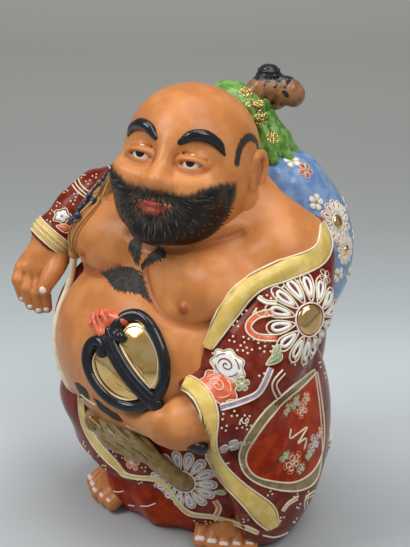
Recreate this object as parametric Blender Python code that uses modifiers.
"""Laughing buddha statue in glazed porcelain, as the sections that a potter moulds and lutes together.

Run with: blender --background --python part.py
The statue stands on z = 0 and faces -Y. Its own left hand is at +X. Sizes below are in millimetres.
"""

import math

import bmesh
import bpy
from mathutils import Euler, Matrix, Vector

MM = 0.001

# Driving dimensions
BELLY_CENTRE = Vector((0, -28, 125))
BELLY_RADII = Vector((84, 78, 66))
HEAD_CENTRE = Vector((4, -22, 248))
HEAD_TURN_DEG = 17
HEAD_LIFT_DEG = 20
HEAD_LEAN_DEG = 4
SHOULDER_HALF = 64
SHOULDER_HEIGHT = 198
SKIRT_CENTRE = Vector((0, -8, 62))
SKIRT_RADII = Vector((95, 78, 86))
SACK_CENTRE = Vector((16, 52, 172))
SACK_RADII = Vector((60, 51, 66))
HANGING_CENTRE = Vector((76, -24, 76))
HANGING_RADII = Vector((27, 52, 78))
SKIRT_FOLDS_DEG = range(62, 312, 25)
FOLD_RADIUS = 9
FOLD_RISE = 2.5
SACK_GATHERS = 9
FAN_MIDDLE = Vector((19.7, 12.8))
FAN_SLANT_DEG = -43
FAN_HALF_LENGTH = 26
FAN_HOOK = [(-17.5, 7), (-20, 4.8), (-24, 6.4), (-26, 12)]
FAN_LOBE = [(-23, 18), (-17, 21.8), (-8, 23.6), (2, 23), (11, 20), (18.5, 14), (22.5, 7), (24, 1)]
FAN_HANDLE_END = Vector((66, -90, 95))
HANDLE_RADIUS = 4.4
BAR_HALF = 2.4
BAR_RADIUS = 3.1
RIM_RADIUS = 3.6
LEAF_THICKNESS = 3.5
CUFF_MOUTH = Vector((59, -86, 111))
CUFF_WAY = Vector((-14, -24, -10))
HEM_DEPTH = -20
WALL = 7
SEAM_GAP = 0.3
VENT_RADIUS = 9

# How coarse each kind of piece is cut, in millimetres of voxel
BODY_VOXEL = 2.5
LIMB_VOXEL = 1.2
TRIM_VOXEL = 0.9

# Glaze colours, roughness and metallic value
SKIN = ((0.62, 0.24, 0.08), 0.45, 0.0)
BEARDED_SKIN = ((0.60, 0.23, 0.08), 0.42, 0.0)
ROBE_RED = ((0.22, 0.03, 0.025), 0.18, 0.0)
LINING_ORANGE = ((0.55, 0.07, 0.02), 0.2, 0.0)
HEM_YELLOW = ((0.72, 0.52, 0.17), 0.25, 0.0)
SACK_BLUE = ((0.08, 0.2, 0.5), 0.18, 0.0)
TIE_GREEN = ((0.09, 0.27, 0.05), 0.15, 0.0)
WOOD_BROWN = ((0.3, 0.12, 0.04), 0.3, 0.0)
LACQUER_BLACK = ((0.012, 0.012, 0.016), 0.12, 0.0)
GOLD = ((0.72, 0.5, 0.2), 0.15, 1.0)
CORD_ORANGE = ((0.75, 0.1, 0.02), 0.2, 0.0)
SASH_OLIVE = ((0.27, 0.2, 0.09), 0.35, 0.0)
BEAD_BLUE = ((0.02, 0.05, 0.1), 0.15, 0.0)
COLLAR_OCHRE = ((0.55, 0.32, 0.1), 0.35, 0.0)
BISQUE_WHITE = ((0.75, 0.7, 0.6), 0.7, 0.0)


def clear_scene():
    """Empties the open file of objects."""
    for obj in list(bpy.data.objects):
        bpy.data.objects.remove(obj)


def glaze(name, finish):
    """A Principled material from a (colour, roughness, metallic) finish."""
    colour, roughness, metallic = finish
    material = bpy.data.materials.new(name)
    material.use_nodes = True
    shader = material.node_tree.nodes["Principled BSDF"]
    shader.inputs["Base Color"].default_value = (*colour, 1)
    shader.inputs["Roughness"].default_value = roughness
    shader.inputs["Metallic"].default_value = metallic
    return material


# Clay: round lumps and tapered rolls, pressed together and smoothed


def ball(clay, centre, radii, turn=(0, 0, 0)):
    """Adds an ellipsoid to the clay; turn is in degrees about X, Y and Z."""
    if not hasattr(radii, "__len__"):
        radii = (radii, radii, radii)
    spin = Euler([math.radians(angle) for angle in turn])
    place = Matrix.LocRotScale(Vector(centre), spin, Vector(radii))
    bmesh.ops.create_uvsphere(clay, u_segments=32, v_segments=20, radius=1, matrix=place)


def roll(clay, points, radii):
    """Adds a tapered roll of clay through the points, with one radius at each."""
    for point, radius in zip(points, radii):
        ball(clay, point, radius)
    for index in range(len(points) - 1):
        start, end = Vector(points[index]), Vector(points[index + 1])
        along = end - start
        place = Matrix.Translation((start + end) / 2) @ along.to_track_quat("Z", "Y").to_matrix().to_4x4()
        bmesh.ops.create_cone(
            clay,
            cap_ends=True,
            segments=24,
            radius1=radii[index],
            radius2=radii[index + 1],
            depth=along.length,
            matrix=place,
        )


def evaluated_mesh(obj, name):
    """The mesh of an object with its modifiers applied."""
    bpy.context.view_layer.update()
    graph = bpy.context.evaluated_depsgraph_get()
    mesh = bpy.data.meshes.new_from_object(obj.evaluated_get(graph))
    mesh.name = name
    return mesh


def applied(obj):
    """Applies an object's modifiers in place."""
    mesh = evaluated_mesh(obj, obj.name)
    obj.modifiers.clear()
    obj.data = mesh
    return obj


def new_object(name, mesh):
    """A new object in the scene's own collection."""
    obj = bpy.data.objects.new(name, mesh)
    bpy.context.scene.collection.objects.link(obj)
    return obj


def object_from_clay(name, clay, frame):
    """Turns clay in millimetres into an object in metres, placed by a frame."""
    clay.transform(Matrix.Scale(MM, 4) @ frame)
    mesh = bpy.data.meshes.new(name)
    clay.to_mesh(mesh)
    clay.free()
    return new_object(name, mesh)


def triangle_count(mesh):
    """How many triangles a mesh has."""
    return sum(len(face.vertices) - 2 for face in mesh.polygons)


def pressed(name, clay, voxel, smoothing, triangles, frame=Matrix.Identity(4)):
    """Presses the lumps into one skin, smooths it and thins it to a number of triangles."""
    obj = object_from_clay(name, clay, frame)
    remesh = obj.modifiers.new("press", "REMESH")
    remesh.mode = "VOXEL"
    remesh.voxel_size = voxel * MM
    smooth = obj.modifiers.new("sponge", "SMOOTH")
    smooth.factor = 0.5
    smooth.iterations = smoothing
    applied(obj)
    thin = obj.modifiers.new("thin", "DECIMATE")
    thin.ratio = min(1, triangles / triangle_count(obj.data))
    return applied(obj)


# Seating: a piece is cut back from its neighbours by the seam gap


def swollen(obj, by):
    """A hidden copy of a piece, grown along its normals by some millimetres."""
    copy = new_object(obj.name + " cutter", obj.data.copy())
    offsets = [vertex.normal * (by * MM) for vertex in copy.data.vertices]
    for vertex, offset in zip(copy.data.vertices, offsets):
        vertex.co += offset
    copy.hide_render = True
    copy.display_type = "WIRE"
    return copy


def largest_body(obj):
    """Deletes the crumbs that a cut leaves beside a piece."""
    bm = bmesh.new()
    bm.from_mesh(obj.data)
    bm.verts.ensure_lookup_table()
    unseen = set(bm.verts)
    bodies = []
    while unseen:
        front = [unseen.pop()]
        body = set(front)
        while front:
            near = {edge.other_vert(vert) for vert in front for edge in vert.link_edges}
            front = list(near - body)
            body |= near
        unseen -= body
        bodies.append(body)
    bodies.sort(key=len)
    crumbs = [vert for body in bodies[:-1] for vert in body]
    bmesh.ops.delete(bm, geom=crumbs, context="VERTS")
    bm.to_mesh(obj.data)
    bm.free()


def cut(obj, cutter, operation="DIFFERENCE"):
    """Cuts a piece with a cutter, or joins them, and removes the cutter."""
    knife = obj.modifiers.new("cut", "BOOLEAN")
    knife.operation = operation
    knife.solver = "EXACT"
    knife.object = cutter
    applied(obj)
    bpy.data.objects.remove(cutter)


def boxes_touch(one, other):
    """Whether the bounding boxes of two pieces meet."""
    near = 2 * SEAM_GAP * MM
    for axis in range(3):
        ones = [corner[axis] for corner in one.bound_box]
        others = [corner[axis] for corner in other.bound_box]
        if min(ones) > max(others) + near or min(others) > max(ones) + near:
            return False
    return True


def seat(obj, neighbours):
    """Cuts a piece back from each neighbour that it reaches, leaving the seam gap."""
    for neighbour in neighbours:
        if boxes_touch(obj, neighbour):
            cut(obj, swollen(neighbour, SEAM_GAP))
    largest_body(obj)


def box_cutter(low, high):
    """A box between two corners, in millimetres."""
    clay = bmesh.new()
    low, high = Vector(low), Vector(high)
    place = Matrix.LocRotScale((low + high) / 2, None, high - low)
    bmesh.ops.create_cube(clay, size=1, matrix=place)
    return object_from_clay("box cutter", clay, Matrix.Identity(4))


def stand_flat(obj, height=0):
    """Cuts a piece flat where it stands."""
    reach = 200
    cut(obj, box_cutter((-reach, -reach, -reach), (reach, reach, height)))
    return obj


def trim(obj, point, way):
    """Cuts a piece off square at a point, on the side that the way leads to."""
    size = 120
    clay = bmesh.new()
    turn = Vector(way).to_track_quat("Z", "Y")
    middle = Vector(point) + Vector(way).normalized() * size / 2
    bmesh.ops.create_cube(clay, size=1, matrix=Matrix.LocRotScale(middle, turn, Vector((size, size, size))))
    cut(obj, object_from_clay("trim cutter", clay, Matrix.Identity(4)))
    return obj


def finished(obj, finish):
    """Gives a piece its glaze and smooth shading."""
    obj.data.materials.clear()
    obj.data.materials.append(glaze(obj.name + " glaze", finish))
    obj.data.shade_smooth()
    obj.data.set_sharp_from_angle(angle=math.radians(50))
    return obj


# The pieces


def head_frame():
    """Where the head sits, and how it is turned, lifted and leant."""
    turn = Matrix.Rotation(math.radians(HEAD_TURN_DEG), 4, "Z")
    lift = Matrix.Rotation(math.radians(-HEAD_LIFT_DEG), 4, "X")
    lean = Matrix.Rotation(math.radians(HEAD_LEAN_DEG), 4, "Y")
    return Matrix.Translation(HEAD_CENTRE) @ turn @ lift @ lean


def head_form():
    """Bald head with a full beard, thick brows and long ear lobes, in the head's own frame."""
    clay = bmesh.new()
    ball(clay, (0, 4, 8), (42, 46, 41))
    ball(clay, (0, -6, -18), (44, 40, 33))
    ball(clay, (0, -22, -34), (31, 24, 19))
    roll(clay, [(0, -42, 8), (0, -47, -6), (0, -51, -14)], [4.5, 5.5, 6.5])
    for side in (-1, 1):
        ball(clay, (side * 6.5, -46, -15), 4.6)
        roll(clay, [(side * 8, -40, 13), (side * 18, -38, 16), (side * 28, -31, 10)], [3.5, 4.5, 3])
        roll(clay, [(side * 43, 2, 11), (side * 44.5, 3, -5), (side * 44.5, 2, -24)], [8, 7, 8])
    roll(clay, [(0, 14, -30), (0, 18, -54)], [32, 30])
    return pressed("head", clay, BODY_VOXEL * 0.7, 3, 900, head_frame())


def torso_form():
    """Bare chest and great belly."""
    clay = bmesh.new()
    ball(clay, BELLY_CENTRE, BELLY_RADII)
    ball(clay, (0, -18, 184), (72, 48, 42), (0, 6, 0))
    ball(clay, (-38, -40, 190), (36, 29, 27))
    ball(clay, (40, -42, 178), (37, 30, 28))
    ball(clay, (-SHOULDER_HALF + 6, -8, SHOULDER_HEIGHT), (26, 30, 27))
    ball(clay, (SHOULDER_HALF, -2, SHOULDER_HEIGHT - 5), (32, 36, 30))
    ball(clay, (2, -14, 212), (54, 42, 22))
    ball(clay, (0, 0, 62), (72, 56, 72))
    return stand_flat(pressed("torso", clay, BODY_VOXEL, 8, 820), WALL + SEAM_GAP)


def hollow(obj, centre, radii):
    """Casts a piece hollow, with an ellipsoid drain."""
    clay = bmesh.new()
    place = Matrix.LocRotScale(Vector(centre), None, Vector(radii))
    bmesh.ops.create_uvsphere(clay, u_segments=14, v_segments=8, radius=1, matrix=place)
    cut(obj, object_from_clay("drain", clay, Matrix.Identity(4)))


def right_hand_form():
    """Hand that hangs open, with its back to the front."""
    clay = bmesh.new()
    roll(clay, [(0.5, 1, 4), (-2, 0, -8)], [12.8, 13.2])
    ball(clay, (-6.5, -1, -17), (16.2, 10.8, 12.8))
    finger_radius = 4.5
    for across, length in ((-19, 37.5), (-13.4, 43), (-7.4, 45.5), (-2, 45)):
        knuckle = (across, -4, -18)
        bend = (across * 1.06 - 0.6, -8, -length + 11)
        tip = (across * 0.94, -2.5, -length)
        roll(clay, [knuckle, bend, tip], [finger_radius + 0.4, finger_radius, finger_radius - 0.4])
    roll(clay, [(8, -4, -9), (5, -9, -18), (0, -12, -27), (-2.4, -12.6, -32)], [7.8, 7, 6, 5])
    turn = Matrix.Rotation(math.radians(38), 4, "Z") @ Matrix.Rotation(math.radians(-23), 4, "X")
    return pressed("right_hand", clay, LIMB_VOXEL, 2, 620, Matrix.Translation((-96.6, -47, 176.4)) @ turn)


def left_hand_form():
    """Fist that grips the handle of the fan."""
    clay = bmesh.new()
    roll(clay, [(78, -70, 118), (66, -83, 112), (57, -92, 108)], [17.5, 18, 17])
    ball(clay, (51, -96, 105), (17.5, 12.5, 17), (0, 30, 30))
    for index in range(4):
        start = Vector((47, -104.5, 113)) + Vector((3, 1.6, -6)) * index
        roll(clay, [start, start + Vector((-8, 3, -4)), start + Vector((-9, 9, -8))], [5.6, 5.2, 4.6])
    return pressed("left_hand", clay, LIMB_VOXEL, 3, 420)


def foot_form(name, heel, toes):
    """Foot with five toes, from its heel point to the middle of its toes."""
    clay = bmesh.new()
    heel, toes = Vector(heel), Vector(toes)
    along = (toes - heel).normalized()
    across = Vector((-along.y, along.x, 0))
    roll(clay, [heel + Vector((0, 0, 14)), toes - along * 9 + Vector((0, 0, 9))], [14, 11])
    for index in range(5):
        offset = (index - 2) * 7
        back = abs(offset) * 0.25
        knuckle = toes + across * offset * 0.9 - along * (10 + back) + Vector((0, 0, 8))
        tip = toes + across * offset - along * back + Vector((0, 0, 5.5))
        roll(clay, [knuckle, tip], [6.5, 5])
    return stand_flat(pressed(name, clay, LIMB_VOXEL, 2, 320))


def on_belly(across, up, lift):
    """A point over the front of the belly: across and up from its middle, at some height off the skin."""
    x = across / BELLY_RADII.x
    z = up / BELLY_RADII.z
    y = -math.sqrt(max(0, 1 - x * x - z * z))
    skin = BELLY_CENTRE + Vector((x * BELLY_RADII.x, y * BELLY_RADII.y, z * BELLY_RADII.z))
    normal = Vector((x / BELLY_RADII.x, y / BELLY_RADII.y, z / BELLY_RADII.z)).normalized()
    return skin + normal * lift


def on_fan(along, aside, lift):
    """A point on the fan: along its handle, aside from it, and above the belly."""
    slant = math.radians(FAN_SLANT_DEG)
    across = FAN_MIDDLE.x + along * math.cos(slant) - aside * math.sin(slant)
    up = FAN_MIDDLE.y + along * math.sin(slant) + aside * math.cos(slant)
    return on_belly(across, up, lift)


def fan_handle_form():
    """Bar through the middle of the fan, on past the fist."""
    clay = bmesh.new()
    steps = 7
    for aside in (-BAR_HALF, BAR_HALF):
        bar = [on_fan(FAN_HALF_LENGTH * (2 * step / steps - 0.96), aside, 3.4) for step in range(steps + 1)]
        roll(clay, bar, [BAR_RADIUS] * len(bar))
    roll(clay, [on_fan(FAN_HALF_LENGTH, 0, 4), FAN_HANDLE_END], [HANDLE_RADIUS, HANDLE_RADIUS])
    return pressed("fan_handle", clay, TRIM_VOXEL, 3, 280)


def lobe_width(along):
    """How far out the rim of a lobe is at a place along the handle."""
    for (start, wide), (end, narrow) in zip(FAN_LOBE[:-1], FAN_LOBE[1:]):
        if along <= end:
            return wide + (narrow - wide) * (along - start) / (end - start)
    return 0


def fan_rim_form(name, side):
    """Rim of one lobe: curled in like a hook at the top, round the lobe, and down to the fist."""
    clay = bmesh.new()
    points = [on_fan(along, side * aside, 3.2) for along, aside in [*FAN_HOOK, *FAN_LOBE]]
    roll(clay, points, [RIM_RADIUS] * len(points))
    return pressed(name, clay, TRIM_VOXEL, 2, 320)


def fan_leaf_form(name, side):
    """Gilt leaf of one lobe, a low dome between the bar and the rim."""
    inner = BAR_HALF + BAR_RADIUS + 0.6
    leaf = bmesh.new()
    bmesh.ops.create_grid(leaf, x_segments=9, y_segments=5, size=1)
    for vertex in leaf.verts:
        along = -1 + 20 * vertex.co.x
        wide = (vertex.co.y + 1) / 2
        aside = inner + (lobe_width(along) - RIM_RADIUS - 0.6 - inner) * wide
        dome = (1 - vertex.co.x ** 2) * (1 - vertex.co.y ** 2)
        vertex.co = on_fan(along, side * aside, 1.2 + 1.8 * dome)
    sheet = object_from_clay(name, leaf, Matrix.Identity(4))
    if side < 0:
        sheet.data.flip_normals()
    thick = sheet.modifiers.new("thick", "SOLIDIFY")
    thick.thickness = LEAF_THICKNESS * MM
    thick.offset = -1
    return applied(sheet)


def fan_cord_form():
    """Knotted cord at the head of the fan."""
    clay = bmesh.new()
    ball(clay, on_fan(-FAN_HALF_LENGTH - 6, 0, 3), (8, 4.6, 7), (0, 20, 0))
    ball(clay, on_fan(-FAN_HALF_LENGTH - 9, -4, 3), (5.6, 4.2, 6))
    roll(clay, [on_fan(-FAN_HALF_LENGTH - 8, 2, 4), on_fan(-FAN_HALF_LENGTH + 1, 11, 3)], [4.6, 3.4])
    roll(clay, [on_fan(-FAN_HALF_LENGTH - 8, -5, 4), on_fan(-FAN_HALF_LENGTH, -2, 3)], [4.4, 3.6])
    return pressed("fan_cord", clay, TRIM_VOXEL, 2, 180)


def right_sleeve_form():
    """Sleeve of the raised right arm, with a thick cuff."""
    clay = bmesh.new()
    roll(clay, [(-62, -2, 205), (-80, -15, 206), (-89, -29, 196), (-94, -42, 181)], [25.5, 17, 15, 14])
    roll(clay, [(-94.4, -43, 180), (-96, -45.5, 177)], [17.2, 16.8])
    sleeve = pressed("right_sleeve", clay, BODY_VOXEL * 0.7, 3, 400)
    return trim(sleeve, (-98.5, -49.5, 172), (-3, -5, -6))


def skirt_point(angle_deg, height, inside):
    """A point on the skirt at an angle round the figure, 0 in front, sunk in by some depth."""
    angle = math.radians(angle_deg)
    share = math.sqrt(max(0, 1 - ((height - SKIRT_CENTRE.z) / SKIRT_RADII.z) ** 2))
    across = (SKIRT_RADII.x * share - inside) * math.sin(angle)
    ahead = (SKIRT_RADII.y * share - inside) * math.cos(angle)
    return Vector((SKIRT_CENTRE.x + across, SKIRT_CENTRE.y - ahead, height))


def robe_form():
    """Back and skirt of the robe, with the hem swept up in front."""
    clay = bmesh.new()
    ball(clay, SKIRT_CENTRE, SKIRT_RADII)
    ball(clay, (0, 18, 128), (80, 54, 96))
    ball(clay, (-46, -40, 78), (40, 40, 30))
    ball(clay, (-40, 2, 132), (50, 44, 62))
    roll(clay, [(-62, 6, 190), (0, 14, 192), (58, 18, 182)], [30, 32, 28])
    for angle in SKIRT_FOLDS_DEG:
        inside = FOLD_RADIUS - FOLD_RISE
        fold = [skirt_point(angle, height, inside) for height in (2, 30, 60, 90)]
        roll(clay, fold, [FOLD_RADIUS, FOLD_RADIUS, FOLD_RADIUS, FOLD_RADIUS - FOLD_RISE])
    front_edge = [(-71, -46, 180), (-79, -28, 160), (-83, -18, 136), (-84, -20, 110), (-78, -38, 90), (-64, -58, 80)]
    roll(clay, front_edge, [5, 5, 5.5, 5.5, 6, 6])
    robe = stand_flat(pressed("robe", clay, BODY_VOXEL * 0.8, 3, 1300))
    hem = bmesh.new()
    corners = [(-120, -9), (62, -9), (55, 4), (41, 17), (34, 33)]
    corners += [(25, 45), (3, 42), (-20, 40), (-40, 44), (-120, 44)]
    face = hem.faces.new([hem.verts.new((x, -140, z)) for x, z in corners])
    swept = bmesh.ops.extrude_face_region(hem, geom=[face])
    for item in swept["geom"]:
        if isinstance(item, bmesh.types.BMVert):
            item.co.y = HEM_DEPTH
    bmesh.ops.recalc_face_normals(hem, faces=hem.faces)
    cut(robe, object_from_clay("hem cutter", hem, Matrix.Identity(4)))
    return robe


def left_sleeve_form():
    """Wide left sleeve with its rolled collar, cuff and hanging bag."""
    clay = bmesh.new()
    roll(clay, [(72, 4, 190), (82, -20, 168), (76, -50, 138), (68, -70, 118)], [24, 28, 31, 26])
    ball(clay, HANGING_CENTRE, HANGING_RADII)
    collar = [(58, 40, 200), (78, 27, 205), (90, 8, 204), (92, -6, 200), (86, -26, 197), (74, -46, 190), (68, -62, 178)]
    roll(clay, [*collar, (63, -69, 160), (62, -74, 146)], [7, 7, 7, 7, 7, 7, 7, 6.5, 6])
    roll(clay, [(70, -70, 118), (57, -89, 110)], [27, 25.5])
    roll(clay, [(62, -80, 104), (68, -77, 90), (73, -74, 74), (80, -68, 50)], [12, 10, 9, 8])
    sleeve = pressed("left_sleeve", clay, BODY_VOXEL * 0.8, 3, 800)
    return stand_flat(trim(sleeve, CUFF_MOUTH, CUFF_WAY))


def underskirt_form():
    """Orange underskirt that shows below the hem in front."""
    clay = bmesh.new()
    ball(clay, (0, -12, 36), (72, 66, 60))
    return stand_flat(pressed("underskirt", clay, BODY_VOXEL, 2, 220))


def sash_form():
    """Sash under the belly: a round knot, gathered folds and a hanging end."""
    clay = bmesh.new()
    ball(clay, (-26, -84, 84), 8.8)
    for fold in (-7, -1, 5):
        drop = Vector((-fold * 0.35, -1, fold))
        folds = [Vector((-20, -87, 82)) + drop * 0.55, Vector((-4, -90, 76)) + drop, Vector((14, -90, 72)) + drop]
        roll(clay, [*folds, Vector((28, -87, 67)) + drop * 0.55], [3.6, 3.8, 3.8, 3.4])
    roll(clay, [(-14, -86, 79), (12, -88, 73), (30, -85, 66)], [8, 9, 6.5])
    roll(clay, [(28, -86, 68), (36, -84, 63), (43, -81, 58)], [7.2, 6.8, 6])
    return pressed("sash", clay, LIMB_VOXEL, 2, 420)


def sack_form():
    """Full round sack on the back."""
    clay = bmesh.new()
    ball(clay, SACK_CENTRE, SACK_RADII)
    ball(clay, (17, 45, 220), (38, 32, 25))
    for step in range(SACK_GATHERS):
        angle = 2 * math.pi * step / SACK_GATHERS
        out = Vector((math.cos(angle), 0.85 * math.sin(angle), 0))
        roll(clay, [Vector((17, 46, 206)) + out * 40, Vector((16, 43, 232)) + out * 28], [5, 6])
    return pressed("sack", clay, BODY_VOXEL * 0.8, 3, 680)


def sack_tie_form():
    """Pleated green cloth gathered round the neck of the sack."""
    clay = bmesh.new()
    roll(clay, [(15, 41, 246), (12, 39, 258), (8, 37, 266)], [21, 15, 13])
    ball(clay, (0, 34, 273), (20, 17, 12), (0, 20, 0))
    pleats = 11
    for step in range(pleats):
        angle = 2 * math.pi * step / pleats
        out = Vector((math.cos(angle), math.sin(angle), 0))
        roll(clay, [Vector((15, 41, 240)) + out * 22, Vector((11, 38, 264)) + out * 12.5], [4, 2.6])
        roll(clay, [Vector((7, 37, 264)) + out * 11, Vector((1, 34, 274)) + out * 18], [2.6, 3.6])
    return pressed("sack_tie", clay, LIMB_VOXEL, 2, 560)


def staff_form():
    """Gnarled head of the wooden staff that comes out of the tied neck."""
    clay = bmesh.new()
    roll(clay, [(2, 36, 268), (11, 46, 280), (23, 56, 280)], [8, 10, 9.5])
    ball(clay, (10, 50, 291), (8, 8, 6))
    ball(clay, (28, 58, 277), (8, 8, 9))
    ball(clay, (18, 51, 273), (8, 7, 7))
    return pressed("staff", clay, LIMB_VOXEL, 2, 340)


def inner_collar_form():
    """Ochre lining of the robe that shows beside the right breast."""
    clay = bmesh.new()
    roll(clay, [(-53, -18, 224), (-63, -34, 209), (-69, -45, 191), (-71, -50, 175)], [10.2, 9.6, 8.6, 7.6])
    return pressed("inner_collar", clay, LIMB_VOXEL * 1.4, 3, 200)


def prayer_beads_form():
    """String of prayer beads on the lining."""
    clay = bmesh.new()
    start, end = Vector((-57, -29, 227)), Vector((-70, -50, 198))
    count = 7
    spots = [start.lerp(end, step / (count - 1)) for step in range(count)]
    roll(clay, spots, [1.6] * count)
    for spot in spots:
        ball(clay, spot, 3.2)
    return pressed("prayer_beads", clay, TRIM_VOXEL, 1, 320)


def slab_form(name, centre, radii, depth):
    """An upright elliptical slab; centre is the middle of its height."""
    clay = bmesh.new()
    place = Matrix.LocRotScale(Vector(centre), None, Vector((*radii, depth)))
    bmesh.ops.create_cone(clay, cap_ends=True, segments=28, radius1=1, radius2=1, depth=1, matrix=place)
    return object_from_clay(name, clay, Matrix.Identity(4))


def base_form():
    """Slab that closes the foot of the figure, with the vent that lets hot air out in the kiln."""
    slab = slab_form("base_slab", (0, -4, WALL / 2), (52, 38), WALL)
    cut(slab, slab_form("vent", (0, 18, 0), (VENT_RADIUS, VENT_RADIUS), 4 * WALL))
    return slab


def main():
    """Builds every piece, seats each on those before it, and gathers them."""
    clear_scene()
    pieces = [
        (head_form(), BEARDED_SKIN),
        (torso_form(), SKIN),
        (right_hand_form(), SKIN),
        (fan_handle_form(), LACQUER_BLACK),
        (left_hand_form(), SKIN),
        (fan_rim_form("fan_rim_right", -1), LACQUER_BLACK),
        (fan_rim_form("fan_rim_left", 1), LACQUER_BLACK),
        (fan_leaf_form("fan_leaf_right", -1), GOLD),
        (fan_leaf_form("fan_leaf_left", 1), GOLD),
        (fan_cord_form(), CORD_ORANGE),
        (foot_form("right_foot", (-26, -28, 0), (-45, -64, 0)), SKIN),
        (foot_form("left_foot", (44, -24, 0), (62, -62, 0)), SKIN),
        (base_form(), BISQUE_WHITE),
        (underskirt_form(), LINING_ORANGE),
        (right_sleeve_form(), ROBE_RED),
        (left_sleeve_form(), ROBE_RED),
        (robe_form(), ROBE_RED),
        (sash_form(), SASH_OLIVE),
        (staff_form(), WOOD_BROWN),
        (sack_form(), SACK_BLUE),
        (sack_tie_form(), TIE_GREEN),
        (inner_collar_form(), COLLAR_OCHRE),
        (prayer_beads_form(), BEAD_BLUE),
    ]
    bpy.context.view_layer.update()
    forms = [new_object(piece.name + " form", piece.data.copy()) for piece, _ in pieces]
    for index, (piece, finish) in enumerate(pieces):
        seat(piece, forms[:index])
        finished(piece, finish)
    for form in forms:
        bpy.data.objects.remove(form)
    hollow(bpy.data.objects["torso"], (0, -4, 80), (60, 46, 84))

    statue = bpy.data.collections.new("laughing_buddha_statue")
    bpy.context.scene.collection.children.link(statue)
    frame = bpy.data.objects.new("statue", None)
    statue.objects.link(frame)
    for piece, _ in pieces:
        bpy.context.scene.collection.objects.unlink(piece)
        statue.objects.link(piece)
        piece.parent = frame


if __name__ == "__main__":
    main()
